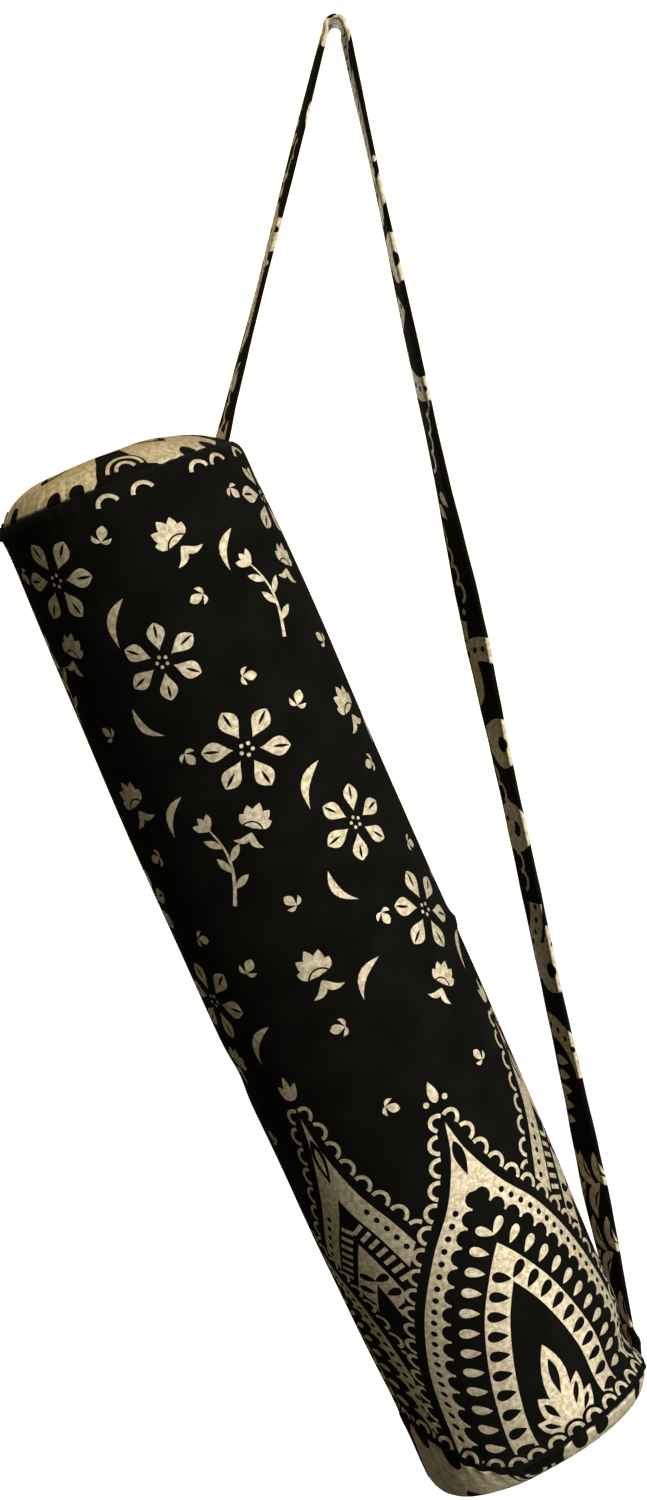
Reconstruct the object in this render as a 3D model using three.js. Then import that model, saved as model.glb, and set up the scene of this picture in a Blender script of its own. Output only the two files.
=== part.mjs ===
// A yoga mat bag: a cloth tube with a domed cloth disc at each end, a zip round the back of the
// top seam and one long flat strap. It hangs by its strap and leans to the right as it hangs.
// Millimetres, +Z up, +X to the right and +Y away from the front. The origin is the underside of
// the strap's highest point, where it lies on whatever it hangs from.
import * as THREE from "three";

// Driving sizes
const discDiameter = 150; // of the cut end discs, and so of the tube's girth
const tubeLength = 629; // from the top seam to the bottom seam, along the middle of the bag
const clothWall = 1.6;
const topRise = 18; // how far the top disc domes above its seam
const bottomRise = 13.5;
const topFullness = 4.6; // how far out the dome stays full: the power of its profile
const bottomFullness = 10;
const topLean = -0.3; // how much fuller the dome is on its right than on its left
const bottomLean = 0.05;
const topCorner = 9; // length of the rounding where the tube turns in to its top seam
const topInset = 6; // how far it turns in
const bottomCorner = 26;
const bottomInset = 6;
const strapWidth = 25;
const strapThickness = 3.2; // folded cloth, four layers
const pegRadius = 4; // of the bend at the top of the strap
const strapAngle = 18; // where both strap ends are sewn in, in degrees behind the right-hand side
const strapFlat = 14; // length of its lower end that lies along the tube
const strapBridge = 2.2; // how far it stands off the cloth where it begins to lie along it
const zipStart = 46; // where the zip starts and ends round the back, in degrees
const zipEnd = 177;
const zipWidth = 13;
const zipTape = 1;
const coilWidth = 3.6;
const coilHeight = 1.6;
const sliderAngle = 164;
const sliderLength = 9;
const sliderWidth = 7;
const sliderHeight = 2.6;
const pullLength = 20;
const pullWidth = 5;
const pullThickness = 1.4;
const seamGap = 0.3; // clearance between neighbouring pieces
const footGap = 1.2 * seamGap; // under the strap's upper end
const tapeGap = 2.2 * seamGap; // under the zip tape
const sliderGap = 3.6 * seamGap; // between the coil's height and the slider's underside
const pullGap = 2 * seamGap; // under the tip of the pull

// How the bag hangs
const topSeamPlace = new THREE.Vector3(-130.3, -25, -282); // middle of the top seam
const leanRight = 23.94; // degrees, of the bag's middle line, to the right as it goes down
const leanBack = 4.54; // degrees, away from the front as it goes down

// Faceting
const aroundSteps = 48;
const tubeRings = 24;
const domeRings = 6;
const cornerRings = [0, 0.15, 0.4, 0.7]; // shares of a rounded corner's length
const zipSteps = 36;
const legSteps = 26;
const bendSteps = 8;

// The tube's sections. along: share of the tube's length. width: half the width seen from the
// front, as a share of the disc's radius; the depth follows, because the girth is the same all
// along. shift: sideways, as a share of the radius. tilt: degrees, of the section's right side
// downwards.
const sections = [
  { along: 0.0, width: 1.03, shift: -0.02, tilt: 2.5 },
  { along: 0.02, width: 1.026, shift: 0.0, tilt: 2.2 },
  { along: 0.07, width: 1.038, shift: 0.008, tilt: 1.2 },
  { along: 0.2, width: 1.056, shift: 0.0, tilt: 0 },
  { along: 0.35, width: 1.059, shift: -0.016, tilt: 0 },
  { along: 0.5, width: 1.059, shift: -0.012, tilt: 0 },
  { along: 0.62, width: 1.056, shift: -0.004, tilt: 0 },
  { along: 0.74, width: 1.043, shift: -0.002, tilt: 0 },
  { along: 0.84, width: 1.02, shift: -0.006, tilt: -0.8 },
  { along: 0.92, width: 1.002, shift: -0.016, tilt: -5 },
  { along: 0.97, width: 0.996, shift: -0.024, tilt: -9 },
  { along: 1.0, width: 1.068, shift: 0.035, tilt: -6.2 },
];

// Soft dents in the tube. along: share of the tube's length. angle: degrees, from the right-hand
// side towards the back. depth, high and round: shares of the radius, high and round being how
// far the dent spreads along the bag and around it.
const dents = [
  { along: 0.974, angle: -4, depth: 0.092, high: 0.12, round: 0.42 },
  { along: 1.0, angle: 23, depth: 0.045, high: 0.13, round: 0.3 },
  { along: 0.93, angle: 205, depth: 0.02, high: 0.3, round: 0.5 },
  { along: 0.67, angle: 186, depth: 0.013, high: 0.5, round: 0.4 },
  { along: 0.565, angle: 197, depth: 0.026, high: 0.12, round: 0.45 },
  { along: 0.3, angle: 80, depth: 0.02, high: 0.7, round: 0.7 },
  { along: 0.66, angle: 110, depth: 0.025, high: 0.8, round: 0.6 },
];

// The slider and its pull, each from its upper end to its lower one. down: share of its width or
// length. broad: share of its breadth. high: share of the slider's height. hang: how far the
// pull's underside still is from the cloth, as a share of its height at the slider.
const sliderShape = [
  { down: 0, broad: 0.64, high: 0.6 },
  { down: 0.3, broad: 1, high: 1 },
  { down: 0.7, broad: 1, high: 1 },
];
const pullShape = [
  { down: 0, broad: 0.68, hang: 1 },
  { down: 0.3, broad: 0.8, hang: 0.68 },
  { down: 0.9, broad: 1, hang: 0 },
  { down: 1, broad: 0.72, hang: 0 },
];

// The strap's twist on each leg, from the seam up to the bend. share: of the leg's length. turn:
// degrees from edge-on, its back edge to the left. The turn at each seam follows the seam.
const topLegTwist = [
  { share: 0.12, turn: 13 },
  { share: 0.5, turn: 10 },
  { share: 0.9, turn: 9 },
];
const bottomLegTwist = [
  { share: 0.05, turn: 25 },
  { share: 0.1, turn: 32 },
  { share: 0.2, turn: 27 },
  { share: 0.3, turn: 21 },
  { share: 0.42, turn: 22 },
  { share: 0.54, turn: 28 },
  { share: 0.68, turn: 14 },
  { share: 0.86, turn: 5 },
  { share: 0.97, turn: 6 },
];

// How much of each leg the strap takes to turn from the way it is sewn in
const topSeamShare = 0.1;
const bottomSeamShare = 0.05;

const radius = discDiameter / 2;
const radians = THREE.MathUtils.degToRad;
const smooth = THREE.MathUtils.smoothstep;

// The bag's own directions: down along its middle line, to its right, and to its back
const right = new THREE.Vector3(Math.cos(radians(leanRight)), 0, Math.sin(radians(leanRight)));
const down = new THREE.Vector3(
  Math.sin(radians(leanRight)) * Math.cos(radians(leanBack)),
  Math.sin(radians(leanBack)),
  -Math.cos(radians(leanRight)) * Math.cos(radians(leanBack)),
);
const back = new THREE.Vector3().crossVectors(right, down);

// A column of a table, smoothly between its rows
function between(rows, key, column, at) {
  const last = rows.length - 1;
  if (at <= rows[0][key]) return rows[0][column];
  if (at >= rows[last][key]) return rows[last][column];
  let i = 0;
  while (rows[i + 1][key] < at) i += 1;
  const slope = (a, b) => (rows[b][column] - rows[a][column]) / (rows[b][key] - rows[a][key]);
  const step = rows[i + 1][key] - rows[i][key];
  const s = (at - rows[i][key]) / step;
  const leave = i > 0 ? slope(i - 1, i + 1) : slope(0, 1);
  const arrive = i + 1 < last ? slope(i, i + 2) : slope(last - 1, last);
  const s2 = s * s;
  const s3 = s2 * s;
  return (
    (2 * s3 - 3 * s2 + 1) * rows[i][column] +
    (s3 - 2 * s2 + s) * step * leave +
    (3 * s2 - 2 * s3) * rows[i + 1][column] +
    (s3 - s2) * step * arrive
  );
}

// How far the tube has turned in, a given distance from the seam
function turnedIn(distance, corner, inset) {
  const rest = Math.max(0, 1 - distance / corner);
  return inset * (1 - Math.sqrt(1 - rest * rest));
}

function dentDepth(along, angle) {
  let depth = 0;
  for (const dent of dents) {
    const high = ((along - dent.along) * tubeLength) / (dent.high * radius);
    const turn = THREE.MathUtils.euclideanModulo(angle - dent.angle + 180, 360) - 180;
    const round = radians(turn) / dent.round;
    depth += dent.depth * radius * Math.exp(-(high * high + round * round) / 2);
  }
  return depth;
}

// The middle of a section and the direction to its right
function section(distance) {
  const along = distance / tubeLength;
  const tilt = radians(between(sections, "along", "tilt", along));
  const shift = radius * between(sections, "along", "shift", along);
  const middle = topSeamPlace.clone().addScaledVector(down, distance).addScaledVector(right, shift);
  const side = right.clone().multiplyScalar(Math.cos(tilt)).addScaledVector(down, Math.sin(tilt));
  return { middle, side, along };
}

// A point of the tube, a distance down from the top seam and degrees round from its right-hand
// side towards the back; inset moves it towards the middle line
function tubePoint(distance, angle, inset, dented = true) {
  const { middle, side, along } = section(distance);
  const width = between(sections, "along", "width", along);
  const depth = Math.sqrt(2 - width * width);
  const shrink =
    inset +
    turnedIn(distance, topCorner, topInset) +
    turnedIn(tubeLength - distance, bottomCorner, bottomInset) +
    (dented ? dentDepth(along, angle) : 0);
  const a = radians(angle);
  return middle
    .addScaledVector(side, (width * radius - shrink) * Math.cos(a))
    .addScaledVector(back, (depth * radius - shrink) * Math.sin(a));
}

// Each end: where its seam is, which way is out, and its dome
const ends = {
  top: { distance: 0, outward: -1, rise: topRise, fullness: topFullness, lean: topLean },
  bottom: {
    distance: tubeLength,
    outward: 1,
    rise: bottomRise,
    fullness: bottomFullness,
    lean: bottomLean,
  },
};

// A point of a domed end disc; share is 1 at the seam and 0 at the middle
function discPoint(end, share, angle, inset) {
  const { middle, side } = section(end.distance);
  const rim = tubePoint(end.distance, angle, inset);
  const out = new THREE.Vector3().crossVectors(side, back).multiplyScalar(-end.outward);
  const power = end.fullness * Math.exp(end.lean * Math.cos(radians(angle)));
  const rise = (end.rise - inset) * (1 - share ** power);
  return middle.lerp(rim, share).addScaledVector(out, seamGap + rise);
}

// A closed body from rings of equal count, each ring in turn; loop joins the last to the first
function bodyOfRings(rings, loop, colour, roughness) {
  const count = rings[0].length;
  const points = rings.flat();
  const faces = [];
  const joins = loop ? rings.length : rings.length - 1;
  for (let i = 0; i < joins; i += 1) {
    const here = i * count;
    const next = ((i + 1) % rings.length) * count;
    for (let j = 0; j < count; j += 1) {
      const k = (j + 1) % count;
      faces.push(here + j, next + j, next + k, here + j, next + k, here + k);
    }
  }
  if (!loop) {
    const end = (rings.length - 1) * count;
    for (let i = 0, k = count - 1; i + 1 < k; i += 1, k -= 1) {
      faces.push(i, i + 1, k, end + i, end + k, end + i + 1);
      if (i + 1 < k - 1) faces.push(i + 1, k - 1, k, end + i + 1, end + k, end + k - 1);
    }
  }
  return solid(points, faces, colour, roughness);
}

// A mesh with its faces turned out, whichever way they were listed
function solid(points, faces, colour, roughness) {
  let volume = 0;
  for (let i = 0; i < faces.length; i += 3) {
    const [a, b, c] = [points[faces[i]], points[faces[i + 1]], points[faces[i + 2]]];
    volume += a.clone().sub(points[0]).dot(b.clone().sub(points[0]).cross(c.clone().sub(points[0])));
  }
  if (volume < 0) faces.reverse();
  const geometry = new THREE.BufferGeometry();
  geometry.setFromPoints(points);
  geometry.setIndex(faces);
  geometry.computeVertexNormals();
  return new THREE.Mesh(geometry, new THREE.MeshStandardMaterial({ color: colour, roughness }));
}

function anglesRound() {
  return Array.from({ length: aroundSteps }, (_, j) => (360 * j) / aroundSteps);
}

// The tube: its outer rings from top to bottom, then its inner rings back up
function bagTube() {
  const distances = cornerRings.map((share) => share * topCorner);
  for (let i = 0; i <= tubeRings; i += 1) {
    distances.push(topCorner + ((tubeLength - topCorner - bottomCorner) * i) / tubeRings);
  }
  const ends = cornerRings.map((share) => tubeLength - share * bottomCorner);
  distances.push(...ends.reverse());
  const ring = (distance, inset) => anglesRound().map((angle) => tubePoint(distance, angle, inset));
  const outer = distances.map((distance) => ring(distance, 0));
  const inner = distances.reverse().map((distance) => ring(distance, clothWall));
  return bodyOfRings([...outer, ...inner], true, 0x14140f, 0.85);
}

// An end disc: an outer dome and an inner one, joined at the seam
function endDisc(end) {
  const angles = anglesRound();
  const points = [];
  const faces = [];
  for (const inset of [0, clothWall]) {
    for (let i = domeRings; i > 0; i -= 1) {
      const share = Math.sin((Math.PI / 2) * (i / domeRings));
      points.push(...angles.map((angle) => discPoint(end, share, angle, inset)));
    }
  }
  const outerMiddle = points.push(discPoint(end, 0, 0, 0)) - 1;
  const innerMiddle = points.push(discPoint(end, 0, 0, clothWall)) - 1;
  const innerStart = domeRings * aroundSteps;
  for (let j = 0; j < aroundSteps; j += 1) {
    const k = (j + 1) % aroundSteps;
    for (let i = 0; i < domeRings - 1; i += 1) {
      const a = i * aroundSteps;
      const b = a + aroundSteps;
      faces.push(a + j, b + j, b + k, a + j, b + k, a + k);
      const c = innerStart + a;
      const d = c + aroundSteps;
      faces.push(c + j, d + k, d + j, c + j, c + k, d + k);
    }
    const last = (domeRings - 1) * aroundSteps;
    faces.push(last + j, outerMiddle, last + k);
    faces.push(innerStart + last + j, innerStart + last + k, innerMiddle);
    faces.push(j, k, innerStart + k, j, innerStart + k, innerStart + j);
  }
  return solid(points, faces, 0x8a7450, 0.8);
}

// A point on the outside round the top seam. across: millimetres from the seam, over the disc
// where positive and down the tube where negative. lift: millimetres out from the cloth.
function overTopSeam(across, angle, lift) {
  const skin = (place, turn) =>
    place > 0
      ? discPoint(ends.top, 1 - place / radius, turn, 0)
      : tubePoint(-place, turn, 0);
  const step = 0.5;
  const along = skin(across + step, angle).sub(skin(across - step, angle));
  const around = skin(across, angle + step).sub(skin(across, angle - step));
  const normal = along.cross(around).normalize();
  const outwards = skin(across, angle).sub(section(discDiameter / 4).middle);
  if (normal.dot(outwards) < 0) normal.negate();
  return skin(across, angle).addScaledVector(normal, lift);
}

// The zip: a tape over the seam, with a raised coil along its middle
function zip() {
  const half = zipWidth / 2;
  const edge = coilWidth / 2;
  const foot = edge + clothWall / 2;
  const quarter = (half + foot) / 2;
  const tape = 2 * seamGap + zipTape;
  const crest = tape + coilHeight;
  const over = [
    { across: -half, lift: tape },
    { across: -quarter, lift: tape },
    { across: -foot, lift: tape },
    { across: -edge, lift: crest },
    { across: edge, lift: crest },
    { across: foot, lift: tape },
    { across: quarter, lift: tape },
    { across: half, lift: tape },
  ];
  const under = [half, quarter, foot, edge, 0, -edge, -foot, -quarter, -half];
  const outline = [...over, ...under.map((across) => ({ across, lift: tapeGap }))];
  const rings = [];
  for (let i = 0; i <= zipSteps; i += 1) {
    const angle = zipStart + ((zipEnd - zipStart) * i) / zipSteps;
    rings.push(outline.map(({ across, lift }) => overTopSeam(across, angle, lift)));
  }
  return bodyOfRings(rings, false, 0x1b1a16, 0.6);
}

// The zip's slider on the coil, and its pull hanging from it down the tube, one body
function zipSlider() {
  const base = zipTape + coilHeight + sliderGap;
  const hold = -sliderWidth / 2;
  const rows = sliderShape.map(({ down: share, broad, high }) => ({
    across: sliderWidth / 2 - share * sliderWidth,
    low: base,
    thick: high * sliderHeight,
    half: (broad * sliderLength) / 2,
  }));
  for (const { down: share, broad, hang } of pullShape) {
    rows.push({
      across: hold - share * pullLength,
      low: pullGap + hang * (base - pullGap),
      thick: pullThickness,
      half: (broad * pullWidth) / 2,
    });
  }
  const rings = rows.map(({ across, low, thick, half }) => {
    const turn = THREE.MathUtils.radToDeg(half / radius);
    return [
      overTopSeam(across, sliderAngle - turn, low),
      overTopSeam(across, sliderAngle + turn, low),
      overTopSeam(across, sliderAngle + turn, low + thick),
      overTopSeam(across, sliderAngle - turn, low + thick),
    ];
  });
  return bodyOfRings(rings, false, 0x6f6a5e, 0.4);
}

// The strap's section at a point of its route: across is the direction over its width, and bow
// bends its middle that far out, as where it follows a round seam
function strapRing(place, heading, across, bow) {
  const over = across.clone().addScaledVector(heading, -across.dot(heading)).normalize();
  const thick = new THREE.Vector3().crossVectors(heading, over).normalize();
  const ring = [];
  for (const side of [1, -1]) {
    for (const share of [-0.5, -0.25, 0, 0.25, 0.5]) {
      const bend = bow * (1 - 4 * share * share);
      ring.push(
        place
          .clone()
          .addScaledVector(over, share * side * strapWidth)
          .addScaledVector(thick, (side * strapThickness) / 2 + bend),
      );
    }
  }
  return ring;
}

// The strap's end on the top seam, cut to the round of the cloth that it stands on
function strapFoot() {
  const ring = [];
  for (const side of [1, -1]) {
    for (const share of [-0.5, -0.25, 0, 0.25, 0.5]) {
      const turn = THREE.MathUtils.radToDeg((share * side * strapWidth) / radius);
      ring.push(overTopSeam((side * strapThickness) / 2, strapAngle + turn, footGap));
    }
  }
  return ring;
}

// The strap: from the top seam over the bend, and down to the bottom seam
function shoulderStrap() {
  const bend = pegRadius + strapThickness / 2;
  const bendMiddle = new THREE.Vector3(0, 0, -pegRadius);
  const seamTurn = new THREE.Vector3()
    .addScaledVector(right, -Math.sin(radians(strapAngle)))
    .addScaledVector(back, Math.cos(radians(strapAngle)));
  const offCloth = seamGap + strapThickness / 2;

  const seamBow = strapWidth ** 2 / (8 * radius);
  const topFoot = overTopSeam(0, strapAngle, seamGap);
  const onTube = (up, lift, dented) => tubePoint(tubeLength - up, strapAngle, -lift, dented);
  const bottomFeet = [
    onTube(strapFlat / 8, offCloth, true),
    onTube(strapFlat / 2, offCloth + strapBridge / 2, false),
    onTube(strapFlat, offCloth + strapBridge, false),
  ];

  // Where a leg from a foot touches the round bend; side is -1 on the left and 1 on the right
  const touch = (foot, side) => {
    const x = foot.x - bendMiddle.x;
    const z = foot.z - bendMiddle.z;
    return Math.atan2(z, x) + side * Math.acos(bend / Math.hypot(x, z));
  };
  const leftTurn = touch(topFoot, -1);
  const rightTurn = touch(bottomFeet[2], 1);
  const onBend = (turn) =>
    bendMiddle.clone().add(new THREE.Vector3(Math.cos(turn) * bend, 0, Math.sin(turn) * bend));

  const twisted = (table, share, seamShare) => {
    const turn = radians(between(table, "share", "turn", share));
    const plain = new THREE.Vector3(-Math.sin(turn), Math.cos(turn), 0);
    return plain.lerp(seamTurn, 1 - smooth(share, 0, seamShare)).normalize();
  };

  const stations = [];
  const leftTop = onBend(leftTurn);
  for (let i = 0; i < legSteps; i += 1) {
    const share = i / legSteps;
    stations.push({
      place: topFoot.clone().lerp(leftTop, share),
      across: twisted(topLegTwist, share, topSeamShare),
      bow: -seamBow * (1 - smooth(share, 0, topSeamShare)),
    });
  }
  const over = new THREE.Vector3(0, 1, 0);
  const full = 2 * Math.PI;
  const from = THREE.MathUtils.euclideanModulo(leftTurn, full);
  const to = THREE.MathUtils.euclideanModulo(rightTurn, full);
  const sweep = from - (to > from ? to - full : to);
  for (let i = 0; i <= bendSteps; i += 1) {
    stations.push({ place: onBend(from - (sweep * i) / bendSteps), across: over, bow: 0 });
  }
  const rightTop = onBend(rightTurn);
  const longLeg = legSteps * 2;
  for (let i = 1; i <= longLeg; i += 1) {
    const share = 1 - i / longLeg;
    stations.push({
      place: bottomFeet[2].clone().lerp(rightTop, share),
      across: twisted(bottomLegTwist, share, bottomSeamShare),
      bow: 0,
    });
  }
  stations.push({ place: bottomFeet[1], across: seamTurn, bow: 0 });
  stations.push({ place: bottomFeet[0], across: seamTurn, bow: 0 });

  const rings = stations.map(({ place, across, bow }, i) => {
    const before = stations[Math.max(i - 1, 0)].place;
    const after = stations[Math.min(i + 1, stations.length - 1)].place;
    return strapRing(place, after.clone().sub(before).normalize(), across, bow);
  });
  rings[0] = strapFoot();
  return bodyOfRings(rings, false, 0x3a3222, 0.85);
}

const bag = new THREE.Group();
const pieces = {
  bag_tube: bagTube(),
  top_cap: endDisc(ends.top),
  bottom_cap: endDisc(ends.bottom),
  shoulder_strap: shoulderStrap(),
  zip_tape: zip(),
  zip_slider: zipSlider(),
};
for (const [name, piece] of Object.entries(pieces)) {
  piece.name = name;
  bag.add(piece);
}

export default bag;
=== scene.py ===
"""A yoga mat bag of black canvas with a gold print, hanging by its strap, dressed for a render.

The cloth pieces are cut flat in millimetres, their print is drawn on the flat cut as outlines,
and each cut is then laid over the bag's form, so that the print follows every fold.
"""

import math

import bpy
import numpy as np
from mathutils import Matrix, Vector
from mathutils.geometry import delaunay_2d_cdt


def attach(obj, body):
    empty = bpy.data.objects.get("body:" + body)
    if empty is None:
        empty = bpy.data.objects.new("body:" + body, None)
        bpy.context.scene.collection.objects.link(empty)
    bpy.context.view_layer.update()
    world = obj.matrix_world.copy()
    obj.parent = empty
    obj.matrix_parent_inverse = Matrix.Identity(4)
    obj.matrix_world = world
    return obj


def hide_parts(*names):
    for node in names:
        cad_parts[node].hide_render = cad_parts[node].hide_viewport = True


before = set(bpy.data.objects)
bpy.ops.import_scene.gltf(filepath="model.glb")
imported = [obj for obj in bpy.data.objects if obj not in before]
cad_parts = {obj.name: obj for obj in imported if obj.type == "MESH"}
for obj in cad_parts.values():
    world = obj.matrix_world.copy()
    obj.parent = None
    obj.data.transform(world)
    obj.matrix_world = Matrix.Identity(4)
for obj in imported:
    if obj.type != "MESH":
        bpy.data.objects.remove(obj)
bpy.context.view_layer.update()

MM = 0.001
TAU = 2 * math.pi

# The photograph's frame, and the camera that fits the bag's outline in it
PHOTO_HEIGHT = 1500
FOCAL_PIXELS = 2950
SENSOR_MM = 36
CAMERA_PLACE = (-0.007, -1.790, -0.441)

# The bag's sizes in millimetres, as in its solids
DISC_DIAMETER = 150
RADIUS = DISC_DIAMETER / 2
GIRTH = math.pi * DISC_DIAMETER
TUBE_LENGTH = 629
TOP_CORNER, TOP_INSET = 9, 6
BOTTOM_CORNER, BOTTOM_INSET = 26, 6
TOP_END = {"distance": 0, "outward": -1, "rise": 18, "fullness": 4.6, "lean": -0.3}
BOTTOM_END = {"distance": TUBE_LENGTH, "outward": 1, "rise": 13.5, "fullness": 10, "lean": 0.05}
STRAP_WIDTH, STRAP_THICKNESS = 25, 3.2
PEG_RADIUS = 4
STRAP_ANGLE = 18
STRAP_LIES, STRAP_BRIDGE = 14, 2.2
ZIP_START, ZIP_END = 46, 177
ZIP_WIDTH, ZIP_TAPE, ZIP_LIFT = 13, 1, 0.35
SLIDER_ANGLE = 164
SEAM_GAP = 0.3

TOP_SEAM = np.array([-130.3, -25, -282])
LEAN_RIGHT = math.radians(23.94)
LEAN_BACK = math.radians(4.54)
RIGHT = np.array([math.cos(LEAN_RIGHT), 0, math.sin(LEAN_RIGHT)])
DOWN = np.array([
    math.sin(LEAN_RIGHT) * math.cos(LEAN_BACK),
    math.sin(LEAN_BACK),
    -math.cos(LEAN_RIGHT) * math.cos(LEAN_BACK),
])
BACK = np.cross(RIGHT, DOWN)

# along, width, shift, tilt: the tube's sections, as shares of its length and radius, and degrees
SECTIONS = np.array([
    (0.0, 1.03, -0.02, 2.5),
    (0.02, 1.026, 0.0, 2.2),
    (0.07, 1.038, 0.008, 1.2),
    (0.2, 1.056, 0.0, 0),
    (0.35, 1.059, -0.016, 0),
    (0.5, 1.059, -0.012, 0),
    (0.62, 1.056, -0.004, 0),
    (0.74, 1.043, -0.002, 0),
    (0.84, 1.02, -0.006, -0.8),
    (0.92, 1.012, -0.004, -5),
    (0.97, 1.006, -0.012, -9),
    (1.0, 1.068, 0.035, -6.2),
])

# along, angle, depth, high, round: soft dents, as shares of the tube's length and radius
DENTS = (
    (0.974, -4, 0.06, 0.12, 0.42),
    (1.0, 23, 0.045, 0.13, 0.3),
    (0.93, 205, 0.02, 0.3, 0.5),
    (0.67, 186, 0.013, 0.5, 0.4),
    (0.565, 197, 0.026, 0.12, 0.45),
    (0.3, 80, 0.02, 0.7, 0.7),
    (0.66, 110, 0.025, 0.8, 0.6),
)

# Where the bottom disc is drawn round the corner and up the tube: the middle of it, where it is
# full and where it ends, in degrees, and how far up, over how much of the tube's cloth
DRAWN_MIDDLE, DRAWN_FULL, DRAWN_NONE = 188, 8, 72
DRAWN_UP, DRAWN_OVER = 48, 190

# The corner's bend there: how far it reaches to both sides of the rim, how far outward and down
# from the rim the point lies that draws it, and over which climbs of the seam it grows
BEND_REACH, BEND_OUT, BEND_DOWN = 10, 1.5, 7.2
BEND_STARTS, BEND_FULL = 8, 24

# share, turn: the strap's twist on each leg, from its seam up, in degrees from edge-on
TOP_LEG_TWIST = np.array([(0.12, 13), (0.5, 10), (0.9, 9)])
BOTTOM_LEG_TWIST = np.array([
    (0.05, 25), (0.1, 32), (0.2, 27), (0.3, 21), (0.42, 22),
    (0.54, 28), (0.68, 14), (0.86, 5), (0.97, 6),
])


# Camera, light and floor

# The bag's middle, in metres, at which most lamps aim
MIDDLE = (0, 0, -0.55)

# name, place, target, size, power, colour
LIGHTS = (
    ("key_light", (1.75, -1.95, -0.05), MIDDLE, (0.9, 1.5), 108, (0.98, 0.985, 0.99)),
    ("left_light", (-2.2, -1.2, 0.1), MIDDLE, (1.2, 1.6), 1.5, (1.0, 0.93, 0.62)),
    ("top_light", (-0.55, -0.1, 0.75), (-0.12, 0, -0.28), (0.4, 0.4), 6.6, (1.0, 0.83, 0.52)),
    ("back_light", (-0.3, 2.6, -0.3), MIDDLE, (1.4, 1.4), 26, (1.0, 0.97, 0.9)),
)
FLOOR_HEIGHT, FLOOR_RADIUS = -1.15, 14


def linked(name, data):
    made = bpy.data.objects.new(name, data)
    bpy.context.collection.objects.link(made)
    return made


def make_camera():
    data = bpy.data.cameras.new("photo_camera")
    data.sensor_width = SENSOR_MM
    data.lens = FOCAL_PIXELS / PHOTO_HEIGHT * SENSOR_MM
    data.clip_start = 0.05
    data.clip_end = 50
    camera = linked("photo_camera", data)
    camera.location = CAMERA_PLACE
    camera.rotation_euler = (math.radians(90), 0, 0)
    bpy.context.scene.camera = camera


def area_light(name, place, target, size, power, colour):
    data = bpy.data.lights.new(name, "AREA")
    data.shape = "RECTANGLE"
    data.size, data.size_y = size
    data.energy = power
    data.color = colour
    lamp = linked(name, data)
    lamp.location = place
    aim = Vector(target) - Vector(place)
    lamp.rotation_euler = aim.to_track_quat("-Z", "Y").to_euler()


def make_light():
    for light in LIGHTS:
        area_light(*light)
    world = bpy.data.worlds.new("studio")
    bpy.context.scene.world = world
    world.use_nodes = True
    nodes, links = world.node_tree.nodes, world.node_tree.links
    background = nodes["Background"]
    background.inputs["Color"].default_value = (1.0, 0.94, 0.66, 1)
    path = nodes.new("ShaderNodeLightPath")
    strength = nodes.new("ShaderNodeMapRange")
    strength.inputs["To Min"].default_value = 0.1
    strength.inputs["To Max"].default_value = 1.6
    links.new(path.outputs["Is Camera Ray"], strength.inputs["Value"])
    links.new(strength.outputs["Result"], background.inputs["Strength"])
    view = bpy.context.scene.view_settings
    view.view_transform = "Standard"
    view.look = "None"


def make_floor():
    """A plain pale floor, as bright as the air behind it."""
    rim = [TAU * i / 64 for i in range(64)]
    verts = [(FLOOR_RADIUS * math.cos(t), FLOOR_RADIUS * math.sin(t), FLOOR_HEIGHT) for t in rim]
    mesh = bpy.data.meshes.new("floor")
    mesh.from_pydata(verts, [], [tuple(range(64))])
    floor = linked("floor", mesh)
    floor.visible_diffuse = False
    floor.visible_glossy = False
    material = bpy.data.materials.new("floor_paint")
    material.use_nodes = True
    shader = material.node_tree.nodes["Principled BSDF"]
    shader.inputs["Base Color"].default_value = (0.3, 0.3, 0.3, 1)
    shader.inputs["Roughness"].default_value = 0.9
    shader.inputs["Emission Color"].default_value = (1, 1, 1, 1)
    shader.inputs["Emission Strength"].default_value = 1.2
    mesh.materials.append(material)


# The bag's form

def unit(vectors):
    return vectors / np.linalg.norm(vectors, axis=-1)[..., None]


def alike(*values):
    """Numbers and arrays as arrays of one shape."""
    return np.broadcast_arrays(*(np.asarray(value, float) for value in values))


def smoothstep(value, low, high):
    share = np.clip((value - low) / (high - low), 0, 1)
    return share * share * (3 - 2 * share)


def between(rows, column, at):
    """A column of a table, smoothly between its rows, for an array of places."""
    keys, values = rows[:, 0], rows[:, column]
    at = np.clip(at, keys[0], keys[-1])
    i = np.clip(np.searchsorted(keys, at, side="right") - 1, 0, len(keys) - 2)
    slopes = np.empty(len(keys))
    slopes[1:-1] = (values[2:] - values[:-2]) / (keys[2:] - keys[:-2])
    slopes[0] = (values[1] - values[0]) / (keys[1] - keys[0])
    slopes[-1] = (values[-1] - values[-2]) / (keys[-1] - keys[-2])
    step = keys[i + 1] - keys[i]
    s = (at - keys[i]) / step
    return (
        (2 * s**3 - 3 * s**2 + 1) * values[i]
        + (s**3 - 2 * s**2 + s) * step * slopes[i]
        + (3 * s**2 - 2 * s**3) * values[i + 1]
        + (s**3 - s**2) * step * slopes[i + 1]
    )


def turned_in(distance, corner, inset):
    rest = np.clip(1 - distance / corner, 0, 1)
    return inset * (1 - np.sqrt(1 - rest * rest))


def dent_depth(along, angle):
    depth = 0
    for place, turn, deep, high, wide in DENTS:
        up = (along - place) * TUBE_LENGTH / (high * RADIUS)
        round_ = np.radians((angle - turn + 180) % 360 - 180) / wide
        depth = depth + deep * RADIUS * np.exp(-(up * up + round_ * round_) / 2)
    return depth


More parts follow.
